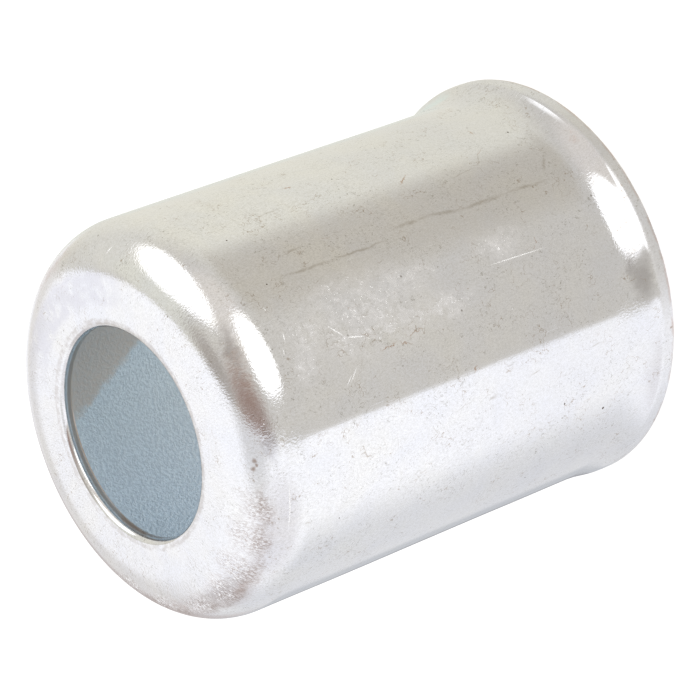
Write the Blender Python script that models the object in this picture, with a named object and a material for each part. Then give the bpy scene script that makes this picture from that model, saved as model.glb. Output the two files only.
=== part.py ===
"""Crimp hose ferrule: one cup drawn from zinc-plated steel sheet.

The closed end is a flat collar with a punched hole for the fitting's stem, and a generous drawn
corner leads from it into a plain barrel. The open mouth, where the hose goes in, is flared by a
punch, ends in a short straight lip, and is trimmed square. The part stands on that mouth, with
the collar on top.

Lengths are metres and +Z is up. The origin is the centre of the mouth's widest ring, on the
plane of the trimmed rim.
"""

import math

import bmesh
import bpy

# Driving dimensions of the drawn cup
BARREL_DIAMETER = 0.0220
LENGTH = 0.0286
SHEET = 0.0008
CORNER_RADIUS = 0.0032

# Punched stem hole in the collar
STEM_HOLE_DIAMETER = 0.0116
HOLE_ROLLOVER = 0.00035
HOLE_BREAK = 0.00015

# Flared mouth
FLARE_STANDOUT = 0.0005
FLARE_BEND_RADIUS = 0.0055
FLARE_RUNOUT = 0.00038

# Straight lip below the flare
LIP_INNER_BEND = 0.0001
LIP_LAND = 0.00045
RIM_ROUND = 0.00025
RIM_BREAK = 0.0001

# Fineness of the facets
TURN_STEPS = 80
BEND_STEPS = 10
LIP_STEPS = 5
EDGE_STEPS = 3
WELD_DISTANCE = 1e-7
SHARP_EDGE = math.radians(35)

# Zinc plate, as a linear colour
ZINC_COLOUR = (0.64, 0.64, 0.62, 1.0)
ZINC_ROUGHNESS = 0.24

QUARTER = math.pi / 2

barrel_radius = BARREL_DIAMETER / 2
mouth_radius = barrel_radius + FLARE_STANDOUT
hole_radius = STEM_HOLE_DIAMETER / 2
collar_width = barrel_radius - hole_radius - HOLE_ROLLOVER
corner_radius = min(CORNER_RADIUS, collar_width)

# The flare bends outwards and the lip bends back upright, through one and the same angle. That
# angle, and the height where the flare leaves the barrel, follow from how far the lip stands out.
lip_bend_radius = LIP_INNER_BEND + SHEET
flare_reach = FLARE_BEND_RADIUS + lip_bend_radius
flare_angle = math.acos(1 - FLARE_STANDOUT / flare_reach)
lip_top = RIM_ROUND + LIP_LAND
flare_top = lip_top + flare_reach * math.sin(flare_angle)
bend_switch = flare_top - FLARE_BEND_RADIUS * math.sin(flare_angle)


def arc(centre, radius, start, end, steps):
    """Points (distance from the axis, height) on an arc; angles run from outwards towards up."""
    angles = [start + (end - start) * step / steps for step in range(steps + 1)]
    return [(centre[0] + radius * math.cos(a), centre[1] + radius * math.sin(a)) for a in angles]


def shell_section():
    """The closed outline of the wall: over the collar, down the outside, and up the inside."""
    rollover_centre = (hole_radius + HOLE_ROLLOVER, LENGTH - HOLE_ROLLOVER)
    corner_centre = (barrel_radius - corner_radius, LENGTH - corner_radius)
    bend_centre = (barrel_radius + FLARE_BEND_RADIUS, flare_top)
    lip_centre = (mouth_radius - lip_bend_radius, lip_top)
    rim_centre = (mouth_radius - RIM_ROUND, RIM_ROUND)
    rim_break_centre = (mouth_radius - SHEET + RIM_BREAK, RIM_BREAK)
    hole_break_centre = (hole_radius + HOLE_BREAK, LENGTH - SHEET + HOLE_BREAK)
    flare_end = math.pi + flare_angle

    outside = (
        arc(rollover_centre, HOLE_ROLLOVER, math.pi, QUARTER, EDGE_STEPS)
        + arc(corner_centre, corner_radius, QUARTER, 0, BEND_STEPS)
        + arc(bend_centre, FLARE_BEND_RADIUS, math.pi, flare_end, BEND_STEPS)
        + arc(lip_centre, lip_bend_radius, flare_angle, 0, LIP_STEPS)[1:]
        + arc(rim_centre, RIM_ROUND, 0, -QUARTER, EDGE_STEPS)
    )
    inside = (
        arc(rim_break_centre, RIM_BREAK, 3 * QUARTER, math.pi, EDGE_STEPS)
        + arc(lip_centre, LIP_INNER_BEND, 0, flare_angle, EDGE_STEPS)
        + arc(bend_centre, FLARE_BEND_RADIUS + SHEET, flare_end, math.pi, BEND_STEPS)[1:]
        + arc(corner_centre, corner_radius - SHEET, 0, QUARTER, BEND_STEPS)
        + arc(hole_break_centre, HOLE_BREAK, 3 * QUARTER, math.pi, EDGE_STEPS)
    )
    return outside + inside


def standout(height):
    """How far the outer face stands out of the barrel at a height, along the two bends."""
    if height >= flare_top:
        return 0.0
    if height >= bend_switch:
        return FLARE_BEND_RADIUS - math.sqrt(FLARE_BEND_RADIUS**2 - (flare_top - height) ** 2)
    above_lip = max(0.0, height - lip_top)
    return FLARE_STANDOUT - (lip_bend_radius - math.sqrt(lip_bend_radius**2 - above_lip**2))


def flare_shift(height):
    """Sideways place of the cup's centre at a height.

    The flaring punch sat a little off the barrel's axis, so the mouth leans over by
    FLARE_RUNOUT towards +X, in step with how far the flare stands out. The mouth's widest
    ring is centred on the origin.
    """
    return FLARE_RUNOUT * (standout(height) / FLARE_STANDOUT - 1)


def spin_shell(section):
    """The section turned once round the axis, then leaned over at the flare."""
    shell = bmesh.new()
    points = [shell.verts.new((radius, 0.0, height)) for radius, height in section]
    outline = [shell.edges.new((a, b)) for a, b in zip(points, points[1:] + points[:1])]
    bmesh.ops.spin(
        shell,
        geom=points + outline,
        cent=(0.0, 0.0, 0.0),
        axis=(0.0, 0.0, 1.0),
        angle=2 * math.pi,
        steps=TURN_STEPS,
    )
    bmesh.ops.remove_doubles(shell, verts=shell.verts, dist=WELD_DISTANCE)
    for vert in shell.verts:
        vert.co.x += flare_shift(vert.co.z)
    bmesh.ops.recalc_face_normals(shell, faces=shell.faces)
    return shell


def zinc_plate():
    """Bright zinc plate over the whole pressing."""
    material = bpy.data.materials.new("zinc_plated_steel")
    material.use_nodes = True
    shader = material.node_tree.nodes["Principled BSDF"]
    shader.inputs["Base Color"].default_value = ZINC_COLOUR
    shader.inputs["Metallic"].default_value = 1.0
    shader.inputs["Roughness"].default_value = ZINC_ROUGHNESS
    return material


def make_ferrule():
    """The whole ferrule, which is a single pressing."""
    shell = spin_shell(shell_section())
    mesh = bpy.data.meshes.new("ferrule_shell")
    shell.to_mesh(mesh)
    shell.free()
    mesh.shade_smooth()
    mesh.set_sharp_from_angle(angle=SHARP_EDGE)
    mesh.materials.append(zinc_plate())
    ferrule = bpy.data.objects.new("ferrule_shell", mesh)
    bpy.context.scene.collection.objects.link(ferrule)


for leftover in list(bpy.data.objects):
    bpy.data.objects.remove(leftover, do_unlink=True)
make_ferrule()
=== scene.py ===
"""The looks of a crimp hose ferrule: a drawn steel cup, zinc plated, that stands on its mouth."""

import math
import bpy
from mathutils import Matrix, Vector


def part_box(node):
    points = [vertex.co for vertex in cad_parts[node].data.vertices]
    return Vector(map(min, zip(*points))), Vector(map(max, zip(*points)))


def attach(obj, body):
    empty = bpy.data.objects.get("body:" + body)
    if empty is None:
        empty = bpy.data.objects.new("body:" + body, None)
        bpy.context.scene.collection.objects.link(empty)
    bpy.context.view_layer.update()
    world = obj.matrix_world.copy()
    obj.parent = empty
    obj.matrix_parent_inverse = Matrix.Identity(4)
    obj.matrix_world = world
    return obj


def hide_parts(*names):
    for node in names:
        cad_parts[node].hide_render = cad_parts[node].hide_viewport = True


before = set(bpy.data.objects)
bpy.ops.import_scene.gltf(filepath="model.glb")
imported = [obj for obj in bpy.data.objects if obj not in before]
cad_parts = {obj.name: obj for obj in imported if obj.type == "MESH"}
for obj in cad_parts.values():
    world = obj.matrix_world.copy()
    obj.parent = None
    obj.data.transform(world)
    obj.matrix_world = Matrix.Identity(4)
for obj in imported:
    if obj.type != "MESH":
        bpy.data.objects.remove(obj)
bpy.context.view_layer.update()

from types import SimpleNamespace

import bpy
import numpy as np
from mathutils import Vector

# Camera
# A long lens, so that the barrel hardly tapers. It looks down past the collar and is rolled over,
# so the standing part appears lying on its side, with its stem hole to the lower left.
MM = 0.001
CAMERA_PLACE = (107.910 * MM, -128.976 * MM, 136.405 * MM)
CAMERA_TURN = (-25.926, 49.000, -82.787)
LENS = 197.65
SENSOR = 36.0

camera_data = bpy.data.cameras.new("camera")
camera_data.lens = LENS
camera_data.sensor_width = SENSOR
camera_data.clip_start = 0.01
camera_data.clip_end = 10
camera = bpy.data.objects.new("camera", camera_data)
camera.location = CAMERA_PLACE
camera.rotation_euler = [math.radians(turn) for turn in CAMERA_TURN]
bpy.context.scene.collection.objects.link(camera)
bpy.context.scene.camera = camera
bpy.context.scene.view_settings.view_transform = "Standard"

# Ferrule shell
# One cup of low-carbon steel sheet, drawn through a die, punched for the stem, flared and trimmed
# at the mouth. It is then barrel plated with zinc and given a clear blue passivate.
MICRON = 1e-6
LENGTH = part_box("ferrule_shell")[1].z
BARREL_RADIUS = 11.0 * MM
SHEET = 0.8 * MM
CORNER_RADIUS = 3.2 * MM
HOLE_RADIUS = 5.8 * MM
HOLE_ROLLOVER = 0.35 * MM
HOLE_BREAK = 0.15 * MM
FLARE_STANDOUT = 0.5 * MM
FLARE_BEND_RADIUS = 5.5 * MM
FLARE_RUNOUT = 0.38 * MM
LIP_INNER_BEND = 0.1 * MM
LIP_LAND = 0.45 * MM
RIM_ROUND = 0.25 * MM
RIM_BREAK = 0.1 * MM

QUARTER = math.pi / 2
MOUTH_RADIUS = BARREL_RADIUS + FLARE_STANDOUT
LIP_BEND_RADIUS = LIP_INNER_BEND + SHEET
FLARE_REACH = FLARE_BEND_RADIUS + LIP_BEND_RADIUS
FLARE_ANGLE = math.acos(1 - FLARE_STANDOUT / FLARE_REACH)
LIP_TOP = RIM_ROUND + LIP_LAND
FLARE_TOP = LIP_TOP + FLARE_REACH * math.sin(FLARE_ANGLE)
BEND_SWITCH = FLARE_TOP - FLARE_BEND_RADIUS * math.sin(FLARE_ANGLE)

# The grid's first column lies at the back
TURN_STEPS = 512
SEAM_ANGLE = math.radians(130)

# Slight waves that the draw leaves in the wall: lobes round it, length along it, phase, height
WALL_WAVES = (
    (2, 19.0 * MM, 0.4, 7.0 * MICRON),
    (3, 11.0 * MM, 2.1, 4.0 * MICRON),
    (5, 7.0 * MM, 4.0, 2.0 * MICRON),
    (9, 5.2 * MM, 1.3, 1.1 * MICRON),
)
# The power by which they grow from nothing at the hole to their full height on the barrel
WAVE_GROWTH = 4


def arc(centre, radius, start, end, steps):
    """Points on an arc as rows of distance from the axis and height, from outwards towards up."""
    angle = np.linspace(start, end, steps + 1)
    return np.stack([centre[0] + radius * np.cos(angle), centre[1] + radius * np.sin(angle)], 1)


def shell_section():
    """The wall's closed outline, a mask of its inner face, and the point where the corner starts.

    It runs up the wall of the stem hole, over the collar, round the corner, down the barrel, out
    and back at the flare and round the rim, then up the inside. Arcs follow each other. Beside
    each are the steps of the straight line from its end to the next arc, and a 1 on the inner face.
    """
    rollover_centre = (HOLE_RADIUS + HOLE_ROLLOVER, LENGTH - HOLE_ROLLOVER)
    corner_centre = (BARREL_RADIUS - CORNER_RADIUS, LENGTH - CORNER_RADIUS)
    bend_centre = (BARREL_RADIUS + FLARE_BEND_RADIUS, FLARE_TOP)
    lip_centre = (MOUTH_RADIUS - LIP_BEND_RADIUS, LIP_TOP)
    rim_centre = (MOUTH_RADIUS - RIM_ROUND, RIM_ROUND)
    rim_break_centre = (MOUTH_RADIUS - SHEET + RIM_BREAK, RIM_BREAK)
    hole_break_centre = (HOLE_RADIUS + HOLE_BREAK, LENGTH - SHEET + HOLE_BREAK)
    flare_end = math.pi + FLARE_ANGLE
    inner_bend = FLARE_BEND_RADIUS + SHEET
    corner = arc(corner_centre, CORNER_RADIUS, QUARTER, 0, 28)

    stretches = (
        (arc(hole_break_centre, HOLE_BREAK, 3 * QUARTER, math.pi, 3), 4, 0),
        (arc(rollover_centre, HOLE_ROLLOVER, math.pi, QUARTER, 8), 6, 0),
        (corner, 46, 0),
        (arc(bend_centre, FLARE_BEND_RADIUS, math.pi, flare_end, 14), 0, 0),
        (arc(lip_centre, LIP_BEND_RADIUS, FLARE_ANGLE, 0, 8)[1:], 3, 0),
        (arc(rim_centre, RIM_ROUND, 0, -QUARTER, 8), 3, 0),
        (arc(rim_break_centre, RIM_BREAK, 3 * QUARTER, math.pi, 2), 2, 0),
        (arc(lip_centre, LIP_INNER_BEND, 0, FLARE_ANGLE, 3), 0, 1),
        (arc(bend_centre, inner_bend, flare_end, math.pi, 8)[1:], 24, 1),
        (arc(corner_centre, CORNER_RADIUS - SHEET, 0, QUARTER, 12), 4, 1),
    )
    points = []
    inside = []
    for (here, steps, bore), (after, _, _) in zip(stretches, stretches[1:] + stretches[:1]):
        share = np.linspace(0, 1, steps + 1)[1:-1, None]
        points += [here, here[-1] * (1 - share) + after[0] * share]
        inside.append(np.full(len(here) + len(share), float(bore)))
    return np.concatenate(points), np.concatenate(inside), corner[0]


def wall_wave(angle, height):
    """How far the wall stands off its true round: the sum of a few sines round and along it.

    It dies away down the flare, because the punch pressed the lip truly round.
    """
    wave = np.zeros(np.broadcast(angle, height).shape)
    for lobes, wavelength, phase, size in WALL_WAVES:
        wave += size * np.sin(lobes * angle + phase) * np.cos(2 * np.pi * height / wavelength + phase)
    return wave * np.clip((height - LIP_TOP) / (FLARE_TOP - LIP_TOP), 0, 1)


def flare_shift(height):
    """Sideways lean of the mouth, in step with how far the flare's two bends stand out.

    The upper bend stands out by its radius less its height above the centre's level, taken on
    the circle, and the lower bend by the whole standout less the same measure on its own circle.
    """
    down_bend = np.clip(FLARE_TOP - height, 0, FLARE_TOP - BEND_SWITCH)
    above_lip = np.clip(height - LIP_TOP, 0, BEND_SWITCH - LIP_TOP)
    upper = FLARE_BEND_RADIUS - np.sqrt(FLARE_BEND_RADIUS**2 - down_bend**2)
    lower = FLARE_STANDOUT - LIP_BEND_RADIUS + np.sqrt(LIP_BEND_RADIUS**2 - above_lip**2)
    standout = np.where(height >= BEND_SWITCH, upper, lower)
    return FLARE_RUNOUT * (standout / FLARE_STANDOUT - 1)


def closed_grid(name, points):
    """A smooth mesh of quads over a grid of points that closes on itself both ways.

    Each point is joined to the next along its row and to the same two points of the next row,
    and the last row and column lead back to the first.
    """
    rows, turns = points.shape[:2]
    row = np.arange(rows)[:, None]
    turn = np.arange(turns)[None, :]
    next_row, next_turn = (row + 1) % rows, (turn + 1) % turns
    ring = [(row, turn), (next_row, turn), (next_row, next_turn), (row, next_turn)]
    corners = np.stack([r * turns + t for r, t in ring], -1).reshape(-1, 4)
    mesh = bpy.data.meshes.new(name)
    mesh.vertices.add(rows * turns)
    mesh.vertices.foreach_set("co", points.reshape(-1).astype(np.float32))
    mesh.loops.add(corners.size)
    mesh.loops.foreach_set("vertex_index", corners.reshape(-1).astype(np.int32))
    mesh.polygons.add(len(corners))
    mesh.polygons.foreach_set("loop_start", np.arange(0, corners.size, 4, dtype=np.int32))
    mesh.update(calc_edges=True)
    mesh.shade_smooth()
    return mesh


# The way along the section is counted in millimetres so that the corner starts at 2. It is below 0
# on the wall of the hole. The corner ends at 7, the barrel at 29 and the lip at 32, and past the rim
# at 33 the way runs up the inside, to 64 at the hole.
CORNER_START_WAY = 2.0


def ferrule_mesh():
    """The shell as a surface of two parameters: the way along the section, and the turn.

    A point's distance from the axis is the section's plus the wall wave, its height is the
    section's, and the whole ring at that height is moved sideways by the flare's lean.
    Attribute blank holds the same point on the straight tube that the wall would unroll to:
    at the barrel's radius, and as high as the way along the section. Patterns that follow the
    drawing direction read it, because it has no seam. Attribute bore is 1 on the inner face.
    """
    section, inside, corner_start = shell_section()
    steps = np.roll(section, -1, axis=0) - section
    way = np.concatenate([[0.0], np.cumsum(np.hypot(steps[:, 0], steps[:, 1]))[:-1]])
    at_corner = np.argmin(np.hypot(*(section - corner_start).T))
    way += CORNER_START_WAY * MM - way[at_corner]
    angle = SEAM_ANGLE + np.linspace(0, 2 * np.pi, TURN_STEPS, endpoint=False)[None, :]

    outwards = np.clip((section[:, :1] - HOLE_RADIUS) / (BARREL_RADIUS - HOLE_RADIUS), 0, 1)
    radius = section[:, :1] + wall_wave(angle, section[:, 1:]) * outwards**WAVE_GROWTH
    height = np.broadcast_to(section[:, 1:], radius.shape)
    points = np.stack(
        [radius * np.cos(angle) + flare_shift(height), radius * np.sin(angle), height], -1
    )
    unrolled = (BARREL_RADIUS * np.cos(angle), BARREL_RADIUS * np.sin(angle), way[:, None])
    blank = np.stack([np.broadcast_to(part, radius.shape) for part in unrolled], -1)

    mesh = closed_grid("ferrule", points)
    for name, kind, field, values in (
        ("blank", "FLOAT_VECTOR", "vector", blank),
        ("bore", "FLOAT", "value", np.repeat(inside, TURN_STEPS)),
    ):
        attribute = mesh.attributes.new(name, kind, "POINT")
        attribute.data.foreach_set(field, values.reshape(-1).astype(np.float32))
    return mesh


def linear(hex_colour):
    """The linear colour, with alpha, of an sRGB hex value."""
    parts = [int(hex_colour[i : i + 2], 16) / 255 for i in (1, 3, 5)]
    return [v / 12.92 if v <= 0.04045 else ((v + 0.055) / 1.055) ** 2.4 for v in parts] + [1.0]


def node(tree, kind, links=None, out=0, **settings):
    """Adds a node with its settings, links or sets its inputs, and returns one of its outputs."""
    new = tree.nodes.new(kind)
    for name, value in settings.items():
        setattr(new, name, value)
    for key, value in (links or {}).items():
        if isinstance(value, bpy.types.NodeSocket):
            tree.links.new(value, new.inputs[key])
        else:
            new.inputs[key].default_value = value
    return new.outputs[out]


# Stretches of the way that the pressing marks out, in millimetres
HOLE_WALL = (-0.80, -0.32)
HOLE_EDGE = (0.30, 0.44)
COLLAR_RIM = (1.50, 2.80)
CORNER_BEND = (2.60, 6.20)
FLARE_BEND = (29.40, 30.50)
LIP = (31.75, 32.30)
RIM = (32.35, 33.50)

# Marks on the shell. Each has its angle round from +X in degrees, its way along the section, its
# half size round and along the draw in millimetres, and its turn from the draw in degrees.
SCUFFS = (
    (318, 8.8, 1.5, 1.7, 0),
    (310.5, 8.2, 1.5, 1.5, 0),
    (326.5, 11.6, 0.8, 2.6, 0),
    (323.5, 16.2, 1.0, 3.2, 0),
    (317.5, 13.8, 1.3, 1.7, 0),
    (312.5, 11.0, 1.2, 1.5, 0),
    (312, 17.5, 1.2, 3.4, 0),
    (318, 13.0, 3.4, 6.0, 0),
    (323, 22.7, 1.2, 2.2, 0),
)
BRIGHT_STROKES = (
    (319.5, 7.6, 0.045, 0.34, 73),
    (316.0, 7.2, 0.040, 0.22, 77),
    (328.5, 7.4, 0.035, 0.15, 95),
    (322.0, 13.0, 0.030, 0.17, 77),
    (318.0, 10.4, 0.050, 0.06, 0),
    (302.7, 10.4, 0.036, 0.41, 43),
    (303.8, 10.8, 0.036, 0.59, 46),
    (20.0, 4.2, 0.075, 0.34, 146),
    (305.0, 21.9, 0.050, 0.05, 0),
    (299.5, 4.9, 0.040, 0.04, 0),
    (318.0, 23.5, 0.040, 2.60, 178),
    (316.2, 10.7, 0.055, 0.59, 132),
    (313.0, 11.7, 0.065, 0.65, 166),
    (274.3, 5.7, 0.050, 1.90, 91),
)
RUST_STREAKS = (
    (307.3, 13.4, 0.040, 0.62, 179),
    (306.9, 14.6, 0.040, 0.55, 173),
    (308.7, 15.5, 0.045, 0.70, 3),
    (320.5, 25.1, 0.070, 0.09, 20),
    (318.5, 24.7, 0.040, 0.25, 60),
    (352.5, 20.4, 0.045, 0.62, 24),
    (352.5, 25.9, 0.034, 0.60, 24),
    (2.0, 27.0, 0.030, 0.40, 87),
    (6.5, 14.4, 0.040, 0.20, 122),
    (342.0, 13.3, 0.030, 0.25, 158),
    (292.3, 18.6, 0.050, 0.27, 26),
)
DULL_STREAKS = (
    (335.4, 11.0, 0.140, 2.40, -1),
    (335.2, 14.6, 0.120, 2.80, -1),
    (342.1, 11.0, 0.110, 0.90, 4),
    (338.0, 18.6, 0.170, 2.00, 1),
    (337.2, 20.8, 0.190, 1.70, -9),
    (336.4, 23.4, 0.180, 2.20, 0),
    (336.2, 26.5, 0.160, 2.10, -2),
    (350.7, 25.4, 0.060, 0.70, 49),
    (347.6, 23.8, 0.050, 1.30, 6),
    (341.2, 28.7, 0.140, 0.85, 50),
    (357.8, 12.0, 0.050, 1.40, 2),
    (285.7, 22.6, 0.080, 0.55, 12),
    (283.5, 19.5, 0.140, 0.50, 7),
    (256.8, 21.2, 0.040, 0.75, 165),
    (286.7, 27.1, 0.050, 0.90, 8),
    (267.6, 6.8, 0.080, 0.38, 166),
    (284.2, 17.5, 0.045, 1.00, 9),
    (282.0, 29.5, 0.055, 0.30, 97),
    (41.0, 1.2, 0.040, 0.45, 135),
)
SPECKS = (
    (265.4, 27.8, 0.105, 0.105, 0),
    (272.5, 24.7, 0.075, 0.075, 0),
    (248, 23.2, 0.055, 0.055, 0),
    (265, 9.0, 0.055, 0.055, 0),
    (17.6, 28.8, 0.060, 0.060, 0),
    (357, 28.7, 0.075, 0.075, 0),
    (21, 8.3, 0.055, 0.055, 0),
    (24, 11.3, 0.050, 0.050, 0),
    (353, 8.4, 0.060, 0.060, 0),
    (3, 17.1, 0.055, 0.055, 0),
    (335, 8.4, 0.060, 0.060, 0),
    (68, 3.3, 0.060, 0.060, 0),
    (122, 54.8, 0.060, 0.060, 0),
    (138, 51.6, 0.060, 0.060, 0),
    (155, 53.7, 0.050, 0.050, 0),
)
# The corner is rubbed all along its quarter between -X and -Y, and grime lies along the rub
WORN_PLACES = (
    (274, 3.9, 1.7, 1.3, 0),
    (262, 3.7, 2.0, 1.6, 0),
    (248, 3.6, 2.0, 1.7, 0),
    (234, 3.7, 2.0, 1.5, 0),
    (218, 3.9, 2.2, 1.3, 0),
    (200, 3.8, 2.4, 1.1, 0),
    (184, 3.5, 2.4, 0.9, 0),
)
GRIMY_PLACES = (
    (274, 4.4, 1.9, 0.60, 0),
    (262, 4.4, 2.2, 0.65, 0),
    (249, 4.5, 2.2, 0.60, 0),
    (236, 4.6, 2.0, 0.48, 0),
    (222, 4.5, 2.0, 0.45, 0),
    (207, 4.4, 2.2, 0.95, 0),
    (195, 4.3, 2.6, 0.95, 0),
)
BROWN_SPOTS = (
    (289.3, 4.02, 0.24, 0.20, 0),
    (287.9, 4.10, 0.20, 0.14, 0),
    (286.7, 3.92, 0.23, 0.19, 0),
    (283.0, 32.10, 0.11, 0.15, 0),
)
# Ruddy where steel shows through thinned zinc. The patch at 312 degrees on the corner is a painted
# reflection instead: it carries the brown mirrored between the corner's two highlights further along.
RUDDY_PLACES = (
    (240, 4.5, 1.8, 0.6, 0),
    (203, 4.2, 4.0, 1.0, 0),
    (312, 4.7, 3.2, 0.8, 0),
    (344.1, 31.2, 0.5, 0.3, 0),
    (58, 4.6, 4.6, 0.9, 0),
)
# Painted dark reflections: grey patches at the ends of the bright reflections, on the flare below its
# highlight and on the corner between its two highlights. They stand in for dark surroundings mirrored
# there.
PAINTED_DARK_REFLECTIONS = (
    (300, 30.9, 2.2, 0.9, 0),
    (304, 30.5, 1.2, 0.6, 0),
    (293.5, 5.0, 1.3, 0.5, 0),
    (323, 4.8, 2.2, 0.6, 0),
)
HAZY_SIDE = ((50, 2.2, 9.5, 6.0, 0),)
# A painted cyan reflection at the top of the flare
PAINTED_CYAN_REFLECTIONS = ((41, 30.6, 1.7, 0.9, 0),)
# A painted shadow: a greyer, warmer wedge of the inside wall near the collar, with a straight edge. The
# skin under it is also lower.
PAINTED_BORE_SHADOW = ((93, 57.8, 4.45, 12.4, 32),)

# The film's tints, by the level of its slow noise
FILM_TINTS = ((0.36, "#F2F3F8"), (0.50, "#F6F6F8"), (0.66, "#F8F7F5"))

# What lies over the film, from the lowest layer to the highest
LAYERS = (
    ("mottle", "#DDDCDA"),
    ("towards_mouth", "#D6D6DA"),
    ("flecks", "#A5A198"),
    ("collar_haze", "#DCDBE0"),
    # A painted cyan reflection
    ("painted_cyan_reflection", "#E0F2F6"),
    # A painted dark reflection
    ("painted_dark_reflection", "#B4B1B1"),
    ("scuff_cloud", "#F8F8FB"),
    ("scuff", "#FCFBFD"),
    ("dull_streaks", "#ABA294"),
    ("dirt_curls", "#AE9F8F"),
    ("rust_streaks", "#B28E70"),
    ("hole_dirt", "#CDC8C4"),
    ("hole_wall", "#B9ADA4"),
    ("rim_dirt", "#C9B5AA"),
    # Ruddy steel through thinned zinc, and one painted brown reflection
    ("ruddy", "#D2C0B8"),
    ("worn", "#C9C1BD"),
    ("grimy", "#B9AEA8"),
    ("worn_bright", "#FFFFFF"),
    ("dots", "#FFFFFF"),
    ("bright_strokes", "#FFFFFF"),
    ("dust", "#857C72"),
    ("brown_spots", "#A0897A"),
    ("specks", "#5B4A3E"),
)

# The plate's own roughness, and what each mark adds to it
PLATE_ROUGHNESS = 0.07
DULLED = (
    ("mottle", 0.07),
    ("scuff_cloud", 0.12),
    ("scuff", 0.25),
    ("dots", 0.80),
    ("lip_land", 0.28),
    ("hairlines", 0.20),
    ("bright_strokes", 0.80),
    ("worn_bright", 0.50),
    ("grimy", 0.15),
    # Where dark reflections are painted, the plate is also a little rougher
    ("ruddy", 0.12),
    ("painted_dark_reflection", 0.08),
    ("specks", 0.40),
)

# The inside: the colours of its skin, of the peel on it and of the painted shadow on part of it, its
# roughness, the skin's grain in millimetres and height in micrometres, how strong the peel is, and what
# share of the skin the stretch under the painted shadow has lost
SKIN_COLOUR = "#EEF8FF"
PEEL_COLOUR = "#D6E0E8"
PAINTED_SHADOW_COLOUR = "#E0D6CE"
BORE_ROUGHNESS = 0.42
SKIN_GRAIN = 0.18
SKIN_HEIGHT = 12.0
PEEL_STRENGTH = 0.55
SKIN_LOSS = 0.55


def marks(tree, place, table, soft, strength=1.0):
    """Oval marks as one mask: strength inside, fading to 0 over the outer share called soft.

    The place, less a mark's centre, is measured along and across the mark, each divided by its
    half size, and outwards, divided by the barrel's radius, which keeps the mark off the far side.
    The fade reads the length of the three together. Where marks overlap, the strongest counts.
    """
    union = 0.0
    for angle, way, half_around, half_along, turn in table:
        bearing, slant = math.radians(angle), math.radians(turn)
        out = Vector((math.cos(bearing), math.sin(bearing), 0.0))
        draw = Vector((0.0, 0.0, 1.0))
        around = draw.cross(out)
        centre = out * BARREL_RADIUS / MM + draw * way
        long_way = (math.cos(slant) * draw + math.sin(slant) * around) / half_along
        short_way = (math.cos(slant) * around - math.sin(slant) * draw) / half_around
        away = node(tree, "ShaderNodeVectorMath", {0: place, 1: centre}, operation="SUBTRACT")
        spans = [
            node(
                tree, "ShaderNodeVectorMath", {0: away, 1: axis}, out="Value", operation="DOT_PRODUCT"
            )
            for axis in (long_way, short_way, out / BARREL_RADIUS * MM)
        ]
        spread = node(tree, "ShaderNodeCombineXYZ", {0: spans[0], 1: spans[1], 2: spans[2]})
        distance = node(tree, "ShaderNodeVectorMath", {0: spread}, out="Value", operation="LENGTH")
        mark = node(
            tree,
            "ShaderNodeMapRange",
            {0: distance, 1: 1.0, 2: 1.0 - soft, 3: 0.0, 4: strength},
            interpolation_type="SMOOTHSTEP",
        )
        union = node(tree, "ShaderNodeMath", {0: union, 1: mark}, operation="MAXIMUM")
    return union


def grain(tree, place, around, along, low, high, detail=3.0, roughness=0.6, strength=1.0):
    """A noise pattern of the given sizes in millimetres, as a mask between two of its levels."""
    scaled = node(
        tree,
        "ShaderNodeVectorMath",
        {0: place, 1: (1 / around, 1 / around, 1 / along)},
        operation="MULTIPLY",
    )
    noise = node(
        tree,
        "ShaderNodeTexNoise",
        {"Vector": scaled, "Scale": 1.0, "Detail": detail, "Roughness": roughness},
    )
    return node(
        tree,
        "ShaderNodeMapRange",
        {0: noise, 1: low, 2: high, 3: 0.0, 4: strength},
        interpolation_type="SMOOTHSTEP",
    )


def band(tree, way, stretch, fade, strength=1.0):
    """A stretch of the section as a mask: full between its two ways, and gone a fade beyond each."""
    low, high = stretch
    away = node(tree, "ShaderNodeMath", {0: way, 1: (low + high) / 2}, operation="SUBTRACT")
    away = node(tree, "ShaderNodeMath", {0: away}, operation="ABSOLUTE")
    half = (high - low) / 2
    return node(
        tree,
        "ShaderNodeMapRange",
        {0: away, 1: half + fade, 2: half, 3: 0.0, 4: strength},
        interpolation_type="SMOOTHSTEP",
    )


def curls(tree, place, size, half_width, strength):
    """Thin curled hairs: the contour of a noise, where it passes its middle value."""
    noise = node(
        tree, "ShaderNodeTexNoise", {"Vector": place, "Scale": 1 / size, "Detail": 2.5, "Roughness": 0.6}
    )
    hair = node(tree, "ShaderNodeMath", {0: noise, 1: 0.5, 2: half_width}, operation="COMPARE")
    return node(tree, "ShaderNodeMath", {0: hair, 1: strength}, operation="MULTIPLY")


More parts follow.
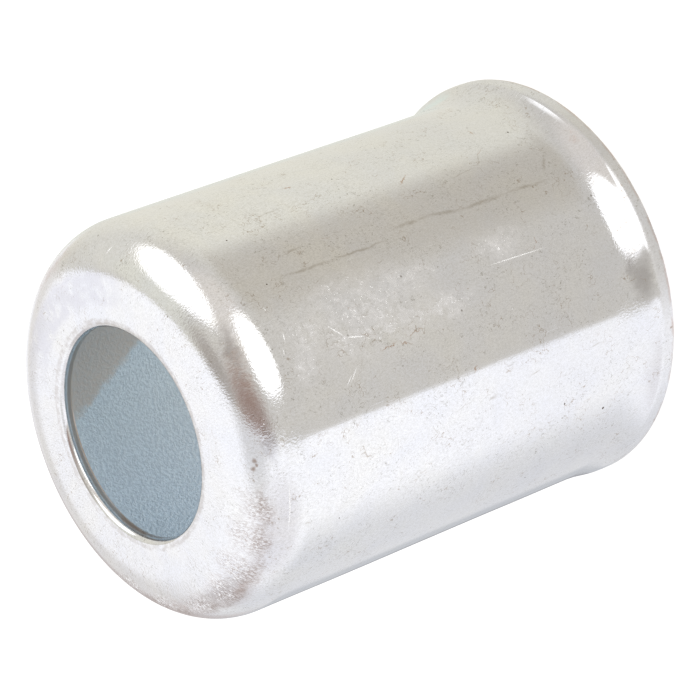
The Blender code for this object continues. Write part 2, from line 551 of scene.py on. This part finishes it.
def places(tree):
    """What the patterns read, in millimetres: the blank, its way, and the mask of the bore.

    The blank also comes wavy and ragged, moved about by a noise, up to a few tenths of a
    millimetre and up to nearly one, for marks with an uneven edge.
    """
    metres = node(tree, "ShaderNodeAttribute", out="Vector", attribute_name="blank")
    blank = node(tree, "ShaderNodeVectorMath", {0: metres, "Scale": 1 / MM}, operation="SCALE")
    swirl = node(
        tree,
        "ShaderNodeTexNoise",
        {"Vector": blank, "Scale": 0.9, "Detail": 6.0, "Roughness": 0.68},
        out="Color",
    )
    swirl = node(tree, "ShaderNodeVectorMath", {0: swirl, 1: (0.5, 0.5, 0.5)}, operation="SUBTRACT")
    wavy, ragged = [
        node(
            tree,
            "ShaderNodeVectorMath",
            {0: swirl, 1: (reach, reach, reach), 2: blank},
            operation="MULTIPLY_ADD",
        )
        for reach in (0.5, 1.7)
    ]
    return SimpleNamespace(
        blank=blank,
        wavy=wavy,
        ragged=ragged,
        way=node(tree, "ShaderNodeSeparateXYZ", {0: blank}, out=2),
        wavy_way=node(tree, "ShaderNodeSeparateXYZ", {0: wavy}, out=2),
        bore=node(tree, "ShaderNodeAttribute", out="Fac", attribute_name="bore"),
    )


def tumbled(tree, at):
    """Masks of what tumbling leaves, from the mottle all over to single bright nicks and specks.

    The flecks, the hairlines along the draw and the curled dirt lie in patches.
    """
    fleck_patch = grain(tree, at.blank, 2.2, 3.0, 0.36, 0.60, strength=0.8)
    hairline_patch = grain(tree, at.blank, 2.6, 3.4, 0.44, 0.60)
    curl_patch = grain(tree, at.blank, 1.5, 1.5, 0.52, 0.62, strength=0.65)
    dust = node(
        tree,
        "ShaderNodeTexVoronoi",
        {"Vector": at.blank, "Scale": 0.5, "Randomness": 1.0},
        out="Distance",
    )
    return {
        "mottle": grain(tree, at.blank, 0.08, 0.12, 0.30, 0.70, roughness=0.75, strength=0.78),
        "flecks": grain(tree, at.ragged, 0.10, 0.26, 0.60, 0.67, detail=2.5, strength=fleck_patch),
        "hairlines": grain(tree, at.blank, 0.09, 1.5, 0.62, 0.68, detail=2.0, strength=hairline_patch),
        "dirt_curls": curls(tree, at.blank, 0.8, 0.0065, curl_patch),
        "dust": node(tree, "ShaderNodeMapRange", {0: dust, 1: 0.040, 2: 0.018, 3: 0.0, 4: 0.7}),
        "bright_strokes": marks(tree, at.blank, BRIGHT_STROKES, soft=0.7),
        "specks": marks(tree, at.blank, SPECKS, soft=0.6),
    }


def rubbed_barrel(tree, at):
    """Masks of the cloudy rubs on the barrel, of the finer grains in them and of bright dots."""
    place = marks(tree, at.ragged, SCUFFS, soft=0.9)
    cloud = grain(tree, at.ragged, 0.55, 0.65, 0.36, 0.66, detail=5.0, roughness=0.7, strength=place)
    return {
        "scuff_cloud": cloud,
        "scuff": grain(tree, at.blank, 0.15, 0.17, 0.42, 0.64, roughness=0.7, strength=cloud),
        "dots": grain(tree, at.blank, 0.13, 0.14, 0.655, 0.72, detail=1.5, strength=place),
    }


def worn_corner_and_brown_reflection(tree, at):
    """Masks of the corner, rubbed granular, and ruddy where steel shows through thinned zinc, save one
    ruddy patch that is a painted brown reflection.
    """
    worn = marks(tree, at.ragged, WORN_PLACES, soft=0.8)
    grimy = marks(tree, at.ragged, GRIMY_PLACES, soft=0.8)
    ruddy = marks(tree, at.ragged, RUDDY_PLACES, soft=0.9, strength=0.75)
    return {
        "worn": grain(tree, at.blank, 0.11, 0.20, 0.40, 0.60, roughness=0.7, strength=worn),
        "worn_bright": grain(tree, at.blank, 0.09, 0.22, 0.52, 0.59, detail=2.0, strength=worn),
        "grimy": grain(
            tree, at.blank, 0.12, 0.17, 0.40, 0.58, detail=4.0, roughness=0.75, strength=grimy
        ),
        "ruddy": grain(
            tree, at.blank, 0.28, 0.34, 0.30, 0.66, detail=5.0, roughness=0.7, strength=ruddy
        ),
    }


def pressed_rings(tree, at):
    """Masks of the rings that follow the pressing, from the wall of the hole to the trimmed rim.

    The barrel also darkens slowly towards the mouth.
    """
    hole_edge = band(tree, at.wavy_way, HOLE_EDGE, 0.14, strength=0.7)
    hazy_side = marks(tree, at.blank, HAZY_SIDE, soft=0.5, strength=0.75)
    collar_rim = band(tree, at.wavy_way, COLLAR_RIM, 0.5, strength=hazy_side)
    rim = band(tree, at.way, RIM, 0.25, strength=0.7)
    return {
        "hole_wall": band(tree, at.way, HOLE_WALL, 0.1),
        "hole_dirt": grain(tree, at.blank, 0.7, 0.3, 0.30, 0.62, strength=hole_edge),
        "collar_haze": grain(tree, at.blank, 1.1, 0.8, 0.30, 0.55, detail=4.0, strength=collar_rim),
        "towards_mouth": node(
            tree,
            "ShaderNodeMapRange",
            {0: at.way, 1: 12.0, 2: 27.0, 3: 0.0, 4: 0.28},
            interpolation_type="SMOOTHSTEP",
        ),
        "lip_land": band(tree, at.wavy_way, LIP, 0.25),
        "rim_dirt": grain(tree, at.blank, 0.8, 0.3, 0.38, 0.62, strength=rim),
    }


def stains_and_painted_reflections(tree, at):
    """Masks of rusty and olive streaks, of dull patches, of painted dark and cyan reflections, and of
    brown spots.
    """
    dull = marks(tree, at.wavy, DULL_STREAKS, soft=0.95, strength=0.48)
    return {
        "rust_streaks": marks(tree, at.ragged, RUST_STREAKS, soft=0.6, strength=0.8),
        "dull_streaks": grain(tree, at.blank, 0.25, 0.70, 0.26, 0.54, detail=4.0, strength=dull),
        # Painted dark reflections
        "painted_dark_reflection": marks(tree, at.ragged, PAINTED_DARK_REFLECTIONS, soft=0.9, strength=0.75),
        # A painted cyan reflection
        "painted_cyan_reflection": marks(tree, at.ragged, PAINTED_CYAN_REFLECTIONS, soft=0.8, strength=0.75),
        "brown_spots": marks(tree, at.wavy, BROWN_SPOTS, soft=0.8, strength=0.75),
    }


def film_colour(tree, at):
    """The zinc under its film, whose tints change in slow patches."""
    tint = node(
        tree,
        "ShaderNodeTexNoise",
        {"Vector": at.blank, "Scale": 0.30, "Detail": 4.0, "Roughness": 0.6, "Distortion": 0.4},
    )
    colour = node(tree, "ShaderNodeValToRGB", {0: tint})
    ramp = colour.node.color_ramp
    ramp.elements.new(0.5)
    for element, (level, hex_colour) in zip(ramp.elements, FILM_TINTS):
        element.position = level
        element.color = linear(hex_colour)
    return colour


def bore_skin_and_painted_shadow(tree, at):
    """The colour of the inside, with a painted shadow on part of it, and how much of its skin there is
    at each place.
    """
    # The painted shadow's wedge, where the skin is also lower
    painted_shadow = marks(tree, at.ragged, PAINTED_BORE_SHADOW, soft=0.13)
    skinned = node(tree, "ShaderNodeMath", {0: painted_shadow, 1: -SKIN_LOSS, 2: 1.0}, operation="MULTIPLY_ADD")
    peel_place = node(tree, "ShaderNodeMath", {0: skinned, 1: PEEL_STRENGTH}, operation="MULTIPLY")
    peel = grain(tree, at.blank, SKIN_GRAIN, SKIN_GRAIN, 0.35, 0.65, strength=peel_place)
    colour = linear(SKIN_COLOUR)
    for mask, hex_colour in ((painted_shadow, PAINTED_SHADOW_COLOUR), (peel, PEEL_COLOUR)):
        layer = linear(hex_colour)
        colour = node(
            tree, "ShaderNodeMix", {0: mask, 6: colour, 7: layer}, out=2, data_type="RGBA"
        )
    return colour, skinned


def relief(tree, at, skinned):
    """Heights in micrometres: lines of the draw, crystals where the sheet was bent, and the skin."""
    draw_lines = grain(tree, at.blank, 0.14, 1.4, 0.2, 0.8, detail=4.0, roughness=0.65, strength=0.4)
    corner = band(tree, at.way, CORNER_BEND, 1.0, strength=3.0)
    flare = band(tree, at.way, FLARE_BEND, 0.7, strength=2.6)
    bent = node(tree, "ShaderNodeMath", {0: corner, 1: flare}, operation="ADD")
    crystals = grain(tree, at.blank, 0.13, 0.14, 0.3, 0.7, detail=2.0, strength=bent)
    plate = node(tree, "ShaderNodeMath", {0: draw_lines, 1: crystals}, operation="ADD")
    skin_height = node(tree, "ShaderNodeMath", {0: skinned, 1: SKIN_HEIGHT}, operation="MULTIPLY")
    skin = grain(tree, at.blank, SKIN_GRAIN, SKIN_GRAIN, 0.3, 0.7, detail=2.0, strength=skin_height)
    return node(tree, "ShaderNodeMix", {0: at.bore, 2: plate, 3: skin})


def zinc_plated_steel():
    """Zinc plate, drawn steel below: bright, faintly lavender, dulled by small scuffs.

    The plating copies the drawn sheet under it, so fine lines run along the draw and break up
    the edges of what it mirrors. Tumbling in the plating barrel leaves dull cloudy rubs, bright
    nicks, curled hairs of dirt and pits, mostly where the barrel and the corner stand proud, and
    the corner is rubbed granular. The passivate is a film about as thick as a wave of light,
    which tints the metal in slow patches. Inside the cup little zinc settles, so it is a dull
    blue-grey with an orange-peel skin.
    """
    material = bpy.data.materials.new("zinc_plated_drawn_steel")
    material.use_nodes = True
    tree = material.node_tree
    at = places(tree)
    masks = {}
    for group in (tumbled, rubbed_barrel, worn_corner_and_brown_reflection, pressed_rings, stains_and_painted_reflections):
        masks.update(group(tree, at))

    colour = film_colour(tree, at)
    bore_colour_with_shadow, skinned = bore_skin_and_painted_shadow(tree, at)
    layers = [(masks[name], linear(hex_colour)) for name, hex_colour in LAYERS]
    layers.append((at.bore, bore_colour_with_shadow))
    for mask, layer in layers:
        colour = node(
            tree, "ShaderNodeMix", {0: mask, 6: colour, 7: layer}, out=2, data_type="RGBA"
        )

    roughness = PLATE_ROUGHNESS
    for name, amount in DULLED:
        roughness = node(
            tree,
            "ShaderNodeMath",
            {0: masks[name], 1: amount, 2: roughness},
            operation="MULTIPLY_ADD",
        )
    roughness = node(tree, "ShaderNodeMix", {0: at.bore, 2: roughness, 3: BORE_ROUGHNESS})
    bump = node(
        tree,
        "ShaderNodeBump",
        {"Strength": 1.0, "Distance": MICRON, "Height": relief(tree, at, skinned)},
        out="Normal",
    )

    shader = tree.nodes["Principled BSDF"]
    shader.inputs["Metallic"].default_value = 1.0
    tree.links.new(colour, shader.inputs["Base Color"])
    tree.links.new(roughness, shader.inputs["Roughness"])
    tree.links.new(bump, shader.inputs["Normal"])
    return material


ferrule = bpy.data.objects.new("ferrule", ferrule_mesh())
bpy.context.scene.collection.objects.link(ferrule)
ferrule.data.materials.append(zinc_plated_steel())
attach(ferrule, "root")
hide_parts("ferrule_shell")

# Floor
# Pale paper that the part stands on. It takes the part's soft shadow. Only the camera sees it,
# because the mouth is lit as if the part were held up, and it would hide the studio's own light.
FLOOR_SIZE = 4.0

# The paper's own colour, and the light that it gives off to the camera on top
PAPER_COLOUR = "#B4B4B4"
PAPER_LIFT = "#E4E4E4"


def floor_paper():
    """White paper: matt, and lifted to plain white for the camera, less the part's shadow."""
    material = bpy.data.materials.new("white_paper")
    material.use_nodes = True
    tree = material.node_tree
    shader = tree.nodes["Principled BSDF"]
    shader.inputs["Base Color"].default_value = linear(PAPER_COLOUR)
    shader.inputs["Roughness"].default_value = 0.9
    shader.inputs["Specular IOR Level"].default_value = 0.0
    path = tree.nodes.new("ShaderNodeLightPath")
    seen = path.outputs["Is Camera Ray"]
    for kind in ("Is Glossy Ray", "Is Transmission Ray"):
        seen = node(tree, "ShaderNodeMath", {0: seen, 1: path.outputs[kind]}, operation="MAXIMUM")
    tree.links.new(seen, shader.inputs["Emission Strength"])
    shader.inputs["Emission Color"].default_value = linear(PAPER_LIFT)
    return material


half = FLOOR_SIZE / 2
floor_mesh = bpy.data.meshes.new("floor")
floor_mesh.from_pydata(
    [(-half, -half, 0), (half, -half, 0), (half, half, 0), (-half, half, 0)], [], [(0, 1, 2, 3)]
)
floor = bpy.data.objects.new("floor", floor_mesh)
floor.data.materials.append(floor_paper())
floor.visible_glossy = False
floor.visible_diffuse = False
floor.visible_shadow = False
bpy.context.scene.collection.objects.link(floor)

# Studio
# Plain soft light from all round, turned to suit the rolled camera: a white table below, a warm
# grey room above it, and two soft boxes. Directions are an azimuth round the studio's own up, from
# the camera towards its right, and an elevation over the table, both in degrees.
STUDIO_UP = Vector((0.9922, 0.1246, 0.0)).normalized()
ROOM_COLOUR = "#D8D5CF"

# Linear light: the table is a little brighter than white, and the soft boxes are brighter still
TABLE_LIGHT = (1.11, 1.12, 1.16, 1.0)
SOFT_BOX_LIGHT = (1.6, 1.6, 1.6, 1.0)

# Round glows: direction, the angles from it where it starts and where it is full, and its colour
ROOM_GLOWS = (
    ((180, 20), 62, 12, "#EDEBE0"),
    ((134, 54), 26, 4, "#CCC7BD"),
    ((-20, 66), 36, 14, "#E7E2DC"),
    ((-115, 22), 34, 10, "#E6E4DC"),
    ((-86, 17), 26, 8, "#E8E8E0"),
    ((-15, 1), 36, 8, "#A8968F"),
    ((-54, 6), 20, 5, "#B5AFA9"),
)
TABLE_GLOWS = (
    ((150, -58), 46, 12, "#E8E9EC"),
    ((-127, -41), 28, 6, "#EAE8E7"),
    ((-90, -72), 24, 8, "#DAD6D7"),
    ((18, -48), 40, 12, "#F5F4F8"),
    ((-25, -6), 30, 6, "#E6E6E8"),
    ((-142, -12), 20, 5, "#EFECE9"),
    ((-176, -12), 18, 7, "#E8E9E0"),
    ((-166, -42), 20, 7, "#CDC6C5"),
    ((171, -38), 12, 3, "#CACDD2"),
    ((176, -32), 6, 2, "#A0A0A5"),
)
# Soft boxes: direction, half width, half height, roll in degrees, squareness of the outline, and
# how much wider the box looks at its top than at its middle
SOFT_BOXES = (
    ((-82, 44), 0.51, 0.41, 3, 1.8, 1.1),
    ((33, 48), 0.39, 0.42, 4, 2.4, -0.35),
)
# The outline's sum where a soft box starts and where it is full
BOX_FADE = (1.12, 0.88)

# The table's edge: the height where it starts and where it is full, and how much lower it lies at
# the back than at the sides
TABLE_EDGE = (-0.055, -0.066)
TABLE_DROP = 0.087


def studio_axes():
    """The level directions towards the camera and to the camera's right."""
    bpy.context.view_layer.update()
    back = camera.matrix_world.to_3x3() @ Vector((0, 0, 1))
    towards = (back - back.dot(STUDIO_UP) * STUDIO_UP).normalized()
    return towards, STUDIO_UP.cross(towards)


TOWARDS_CAMERA, TO_THE_RIGHT = studio_axes()


def direction(azimuth, elevation):
    """A studio direction as a vector of the scene."""
    turn, rise = math.radians(azimuth), math.radians(elevation)
    level = math.sin(turn) * TO_THE_RIGHT + math.cos(turn) * TOWARDS_CAMERA
    return math.cos(rise) * level + math.sin(rise) * STUDIO_UP


def length_along(tree, ray, axis):
    """The ray's length along an axis."""
    return node(tree, "ShaderNodeVectorMath", {0: ray, 1: axis}, out="Value", operation="DOT_PRODUCT")


def laid(tree, ray, colour, glows):
    """Round glows over a colour, each by the cosine between the ray and its middle."""
    for centre, start, full, hex_colour in glows:
        limits = {1: math.cos(math.radians(start)), 2: math.cos(math.radians(full))}
        glow = node(
            tree,
            "ShaderNodeMapRange",
            {0: length_along(tree, ray, direction(*centre)), **limits},
            interpolation_type="SMOOTHSTEP",
        )
        layer = linear(hex_colour)
        colour = node(
            tree, "ShaderNodeMix", {0: glow, 6: colour, 7: layer}, out=2, data_type="RGBA"
        )
    return colour


def soft_box(tree, ray, centre, half_width, half_height, roll, power, taper):
    """The mask of a flat box, seen from its own middle.

    The ray's two slopes against its half sizes, each raised to the power that squares the
    outline, add up to 1 on its edge.
    """
    facing = direction(*centre)
    across = STUDIO_UP.cross(facing).normalized()
    rise = facing.cross(across)
    tip = math.radians(roll)
    depth = length_along(tree, ray, facing)
    up, over = [
        node(tree, "ShaderNodeMath", {0: length_along(tree, ray, axis), 1: depth}, operation="DIVIDE")
        for axis in (
            math.cos(tip) * rise - math.sin(tip) * across,
            math.cos(tip) * across + math.sin(tip) * rise,
        )
    ]
    width = node(
        tree,
        "ShaderNodeMath",
        {0: up, 1: taper * half_width, 2: half_width},
        operation="MULTIPLY_ADD",
    )
    outline = 0.0
    for slope, half_size in ((up, half_height), (over, width)):
        slope = node(tree, "ShaderNodeMath", {0: slope, 1: half_size}, operation="DIVIDE")
        slope = node(tree, "ShaderNodeMath", {0: slope}, operation="ABSOLUTE")
        slope = node(tree, "ShaderNodeMath", {0: slope, 1: power}, operation="POWER")
        outline = node(tree, "ShaderNodeMath", {0: slope, 1: outline}, operation="ADD")
    in_front = node(tree, "ShaderNodeMath", {0: depth, 1: 0.0}, operation="GREATER_THAN")
    return node(
        tree,
        "ShaderNodeMapRange",
        {0: outline, 1: BOX_FADE[0], 2: BOX_FADE[1], 3: 0.0, 4: in_front},
        interpolation_type="SMOOTHSTEP",
    )


def table_top(tree, ray):
    """The mask of the table. Its near edge looks higher than its far one, as it is looked down on."""
    height = length_along(tree, ray, STUDIO_UP)
    nearness = length_along(tree, ray, TOWARDS_CAMERA)
    edge = node(
        tree, "ShaderNodeMath", {0: nearness, 1: -TABLE_DROP, 2: height}, operation="MULTIPLY_ADD"
    )
    return node(
        tree,
        "ShaderNodeMapRange",
        {0: edge, 1: TABLE_EDGE[0], 2: TABLE_EDGE[1], 3: 0.0, 4: 1.0},
        interpolation_type="SMOOTHSTEP",
    )


def studio():
    """The studio as a world: one colour for each direction, and plain white for the camera."""
    world = bpy.data.worlds.new("studio")
    world.use_nodes = True
    bpy.context.scene.world = world
    tree = world.node_tree
    ray = node(tree, "ShaderNodeTexCoord", out="Generated")
    path = tree.nodes.new("ShaderNodeLightPath")

    colour = laid(tree, ray, linear(ROOM_COLOUR), ROOM_GLOWS)
    layers = [(soft_box(tree, ray, *box), SOFT_BOX_LIGHT) for box in SOFT_BOXES]
    layers.append((table_top(tree, ray), laid(tree, ray, TABLE_LIGHT, TABLE_GLOWS)))
    layers.append((path.outputs["Is Camera Ray"], linear("#FFFFFF")))
    for mask, layer in layers:
        colour = node(
            tree, "ShaderNodeMix", {0: mask, 6: colour, 7: layer}, out=2, data_type="RGBA"
        )
    background = tree.nodes["Background"]
    tree.links.new(colour, background.inputs["Color"])
    background.inputs["Strength"].default_value = 1.0


studio()
